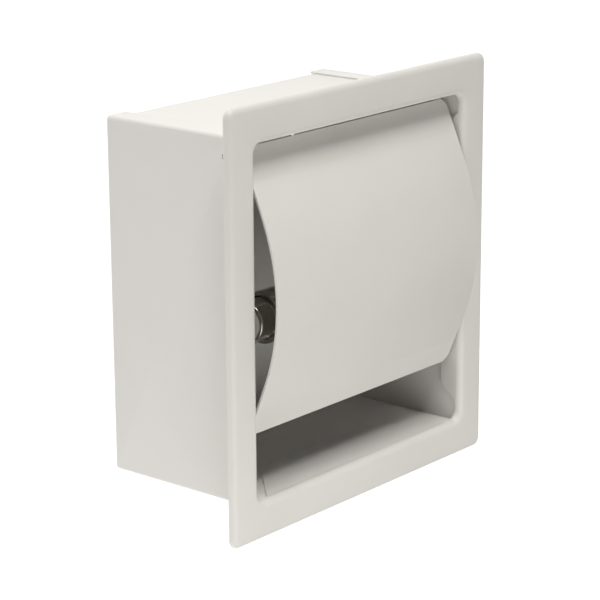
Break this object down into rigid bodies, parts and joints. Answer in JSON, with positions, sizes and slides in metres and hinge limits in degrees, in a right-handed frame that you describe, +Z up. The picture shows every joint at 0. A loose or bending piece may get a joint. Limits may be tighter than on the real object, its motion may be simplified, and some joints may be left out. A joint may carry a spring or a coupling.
{
  "type": "recessed toilet paper holder",
  "caption": "Recessed toilet paper holder: framed sheet-metal box for a wall cut-out, with a sprung roller behind a curved hood that swings up on a top hinge.",
  "frame": {"origin": "centre of the front frame on the finished face of the wall, where the frame's rim rests", "axes": "+X to the right as seen from the room, +Y into the wall, +Z up"},
  "size_m": [0.163, 0.0848, 0.1736],
  "materials": {
    "powder_coat": "satin warm white powder coat with a fine texture",
    "roller_chrome": "polished nickel-chrome plate",
    "zinc_steel": "bright zinc plate",
    "nylon": "natural nylon"
  },
  "bodies": {
    "housing": {"front_frame": "powder_coat", "housing_wrap": "powder_coat", "left_side_panel": "powder_coat", "right_side_panel": "powder_coat", "left_spindle_boss": "powder_coat", "right_spindle_boss": "powder_coat", "hinge_rod": "zinc_steel", "hinge_spacers": "nylon", "hinge_clips": "zinc_steel"},
    "hood": {"hood_shell": "powder_coat", "hood_lug_left": "powder_coat", "hood_lug_right": "powder_coat"},
    "roller": {"roller_outer_sleeve": "roller_chrome", "roller_fixed_cap": "roller_chrome", "roller_spring": "zinc_steel"},
    "plunger": {"roller_inner_sleeve": "roller_chrome", "roller_plunger_cap": "roller_chrome", "roller_spring_seat": "zinc_steel"}
  },
  "joints": [
    {"name": "hood_swing", "type": "hinge", "parent": "housing", "child": "hood", "pos_m": [0, 0.0112, 0.0653], "axis": [-1, 0, 0], "range_deg": [0, 55]},
    {"name": "roller_spin", "type": "hinge", "parent": "housing", "child": "roller", "pos_m": [0, 0.011, -0.0023], "axis": [1, 0, 0], "continuous": true},
    {"name": "plunger_slide", "type": "slide", "parent": "roller", "child": "plunger", "axis": [1, 0, 0], "range_m": [0, 0.0075], "stiffness_N_per_m": 400, "springref_m": -0.01, "deforming": ["roller_spring"]}
  ]
}
